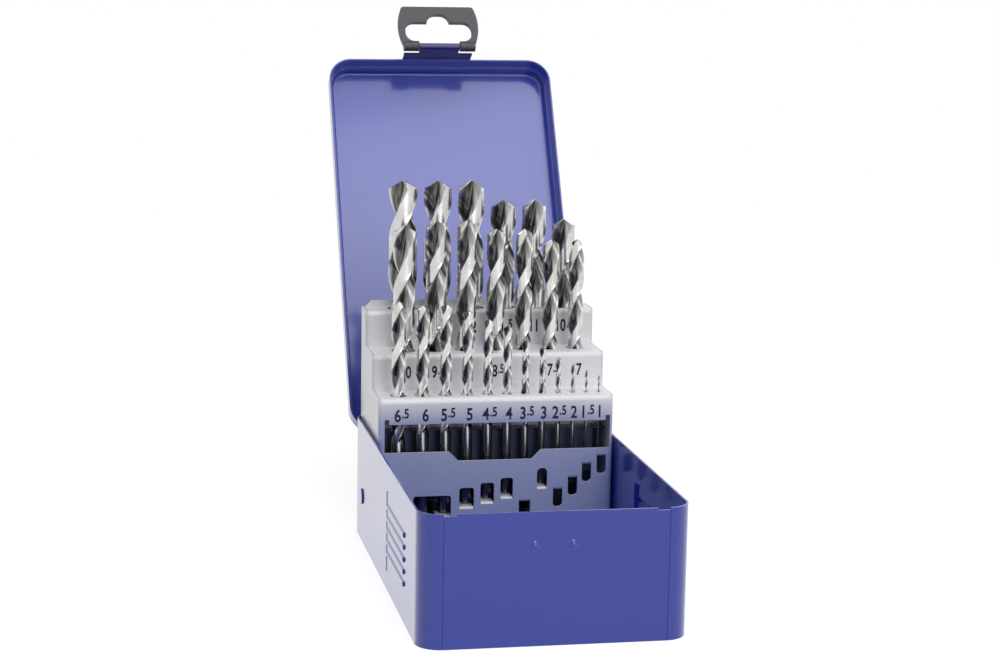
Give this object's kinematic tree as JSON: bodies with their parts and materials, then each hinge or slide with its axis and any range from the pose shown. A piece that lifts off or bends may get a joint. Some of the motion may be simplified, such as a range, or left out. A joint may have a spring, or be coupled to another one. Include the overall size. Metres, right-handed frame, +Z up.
{
  "type": "drill bit case",
  "caption": "Open sheet-steel drill bit case: shallow base, hinged lid with a hanger clip, and a stepped rack that stands up as the lid opens and holds twist bits by size.",
  "frame": {"origin": "middle of the underside of the base", "axes": "+X to the right seen from the front, +Y to the back where the hinge is, +Z up"},
  "size_m": [0.1102, 0.2977, 0.2357],
  "materials": {
    "case_paint": "satin violet-blue powder paint",
    "hinge_paint": "satin violet-blue powder paint",
    "tab_paint": "satin violet-blue powder paint",
    "rack_paint": "smooth light grey paint",
    "guide_paint": "smooth light grey paint in shade",
    "pin_steel": "plain steel wire",
    "clip_plastic": "satin black moulded plastic",
    "bit_steel": "bright ground tool steel"
  },
  "bodies": {
    "base": {"base_pan": "case_paint", "side_wall_left": "case_paint", "side_wall_right": "case_paint", "hinge_base_leaf": "hinge_paint", "hinge_pin": "pin_steel", "rack_pivot_pins": "pin_steel", "rack_stop_studs": "case_paint"},
    "lid": {"lid_shell": "case_paint", "hinge_lid_leaf": "hinge_paint", "latch_tab": "tab_paint"},
    "hanger": {"hanger_clip": "clip_plastic"},
    "rack": {"rack_front_sheet": "rack_paint", "rack_side_left": "rack_paint", "rack_side_right": "rack_paint", "rack_middle_sheet": "rack_paint", "rack_back_sheet": "rack_paint", "rack_guide_plate": "guide_paint", "rack_shelf": "rack_paint", "rack_rest_steps": "rack_paint"},
    "bit_1": {"bit_1": "bit_steel"},
    "bit_1_5": {"bit_1_5": "bit_steel"},
    "bit_2": {"bit_2": "bit_steel"},
    "bit_2_5": {"bit_2_5": "bit_steel"},
    "bit_3": {"bit_3": "bit_steel"},
    "bit_3_5": {"bit_3_5": "bit_steel"},
    "bit_4": {"bit_4": "bit_steel"},
    "bit_4_5": {"bit_4_5": "bit_steel"},
    "bit_5": {"bit_5": "bit_steel"},
    "bit_5_5": {"bit_5_5": "bit_steel"},
    "bit_6": {"bit_6": "bit_steel"},
    "bit_6_5": {"bit_6_5": "bit_steel"},
    "bit_7": {"bit_7": "bit_steel"},
    "bit_7_5": {"bit_7_5": "bit_steel"},
    "bit_8": {"bit_8": "bit_steel"},
    "bit_8_5": {"bit_8_5": "bit_steel"},
    "bit_9": {"bit_9": "bit_steel"},
    "bit_9_5": {"bit_9_5": "bit_steel"},
    "bit_10": {"bit_10": "bit_steel"},
    "bit_10_5": {"bit_10_5": "bit_steel"},
    "bit_11": {"bit_11": "bit_steel"},
    "bit_11_5": {"bit_11_5": "bit_steel"},
    "bit_12": {"bit_12": "bit_steel"},
    "bit_12_5": {"bit_12_5": "bit_steel"},
    "bit_13": {"bit_13": "bit_steel"}
  },
  "joints": [
    {"name": "lid_hinge", "type": "hinge", "parent": "base", "child": "lid", "pos_m": [0, 0.096, 0.0455], "axis": [1, 0, 0], "range_deg": [0, 120]},
    {"name": "rack_fold", "type": "hinge", "parent": "base", "child": "rack", "pos_m": [0, 0.0498, 0.021], "axis": [1, 0, 0], "range_deg": [0, 90]},
    {"name": "clip_swing", "type": "hinge", "parent": "lid", "child": "hanger", "pos_m": [-0.0014, 0.18537, 0.2167], "axis": [1, 0, 0], "range_deg": [0, 90]},
    {"name": "bit_1_lift", "type": "slide", "parent": "rack", "child": "bit_1", "axis": [0, 0, -1], "range_m": [-0.0209, 0]},
    {"name": "bit_1_5_lift", "type": "slide", "parent": "rack", "child": "bit_1_5", "axis": [0, 0, -1], "range_m": [-0.0244, 0]},
    {"name": "bit_2_lift", "type": "slide", "parent": "rack", "child": "bit_2", "axis": [0, 0, -1], "range_m": [-0.0304, 0]},
    {"name": "bit_2_5_lift", "type": "slide", "parent": "rack", "child": "bit_2_5", "axis": [0, 0, -1], "range_m": [-0.0354, 0]},
    {"name": "bit_3_lift", "type": "slide", "parent": "rack", "child": "bit_3", "axis": [0, 0, -1], "range_m": [-0.0349, 0]},
    {"name": "bit_3_5_lift", "type": "slide", "parent": "rack", "child": "bit_3_5", "axis": [0, 0, -1], "range_m": [-0.0404, 0]},
    {"name": "bit_4_lift", "type": "slide", "parent": "rack", "child": "bit_4", "axis": [0, 0, -1], "range_m": [-0.0389, 0]},
    {"name": "bit_4_5_lift", "type": "slide", "parent": "rack", "child": "bit_4_5", "axis": [0, 0, -1], "range_m": [-0.0409, 0]},
    {"name": "bit_5_lift", "type": "slide", "parent": "rack", "child": "bit_5", "axis": [0, 0, -1], "range_m": [-0.0429, 0]},
    {"name": "bit_5_5_lift", "type": "slide", "parent": "rack", "child": "bit_5_5", "axis": [0, 0, -1], "range_m": [-0.0469, 0]},
    {"name": "bit_6_lift", "type": "slide", "parent": "rack", "child": "bit_6", "axis": [0, 0, -1], "range_m": [-0.0474, 0]},
    {"name": "bit_6_5_lift", "type": "slide", "parent": "rack", "child": "bit_6_5", "axis": [0, 0, -1], "range_m": [-0.0534, 0]},
    {"name": "bit_7_lift", "type": "slide", "parent": "rack", "child": "bit_7", "axis": [0, 0, -1], "range_m": [-0.054, 0]},
    {"name": "bit_7_5_lift", "type": "slide", "parent": "rack", "child": "bit_7_5", "axis": [0, 0, -1], "range_m": [-0.054, 0]},
    {"name": "bit_8_lift", "type": "slide", "parent": "rack", "child": "bit_8", "axis": [0, 0, -1], "range_m": [-0.057, 0]},
    {"name": "bit_8_5_lift", "type": "slide", "parent": "rack", "child": "bit_8_5", "axis": [0, 0, -1], "range_m": [-0.057, 0]},
    {"name": "bit_9_lift", "type": "slide", "parent": "rack", "child": "bit_9", "axis": [0, 0, -1], "range_m": [-0.061, 0]},
    {"name": "bit_9_5_lift", "type": "slide", "parent": "rack", "child": "bit_9_5", "axis": [0, 0, -1], "range_m": [-0.061, 0]},
    {"name": "bit_10_lift", "type": "slide", "parent": "rack", "child": "bit_10", "axis": [0, 0, -1], "range_m": [-0.071, 0]},
    {"name": "bit_10_5_lift", "type": "slide", "parent": "rack", "child": "bit_10_5", "axis": [0, 0, -1], "range_m": [-0.087, 0]},
    {"name": "bit_11_lift", "type": "slide", "parent": "rack", "child": "bit_11", "axis": [0, 0, -1], "range_m": [-0.087, 0]},
    {"name": "bit_11_5_lift", "type": "slide", "parent": "rack", "child": "bit_11_5", "axis": [0, 0, -1], "range_m": [-0.087, 0]},
    {"name": "bit_12_lift", "type": "slide", "parent": "rack", "child": "bit_12", "axis": [0, 0, -1], "range_m": [-0.087, 0]},
    {"name": "bit_12_5_lift", "type": "slide", "parent": "rack", "child": "bit_12_5", "axis": [0, 0, -1], "range_m": [-0.087, 0]},
    {"name": "bit_13_lift", "type": "slide", "parent": "rack", "child": "bit_13", "axis": [0, 0, -1], "range_m": [-0.087, 0]}
  ],
  "couplings": [
    {"joint": "rack_fold", "follows": "lid_hinge", "ratio": 0.75}
  ]
}
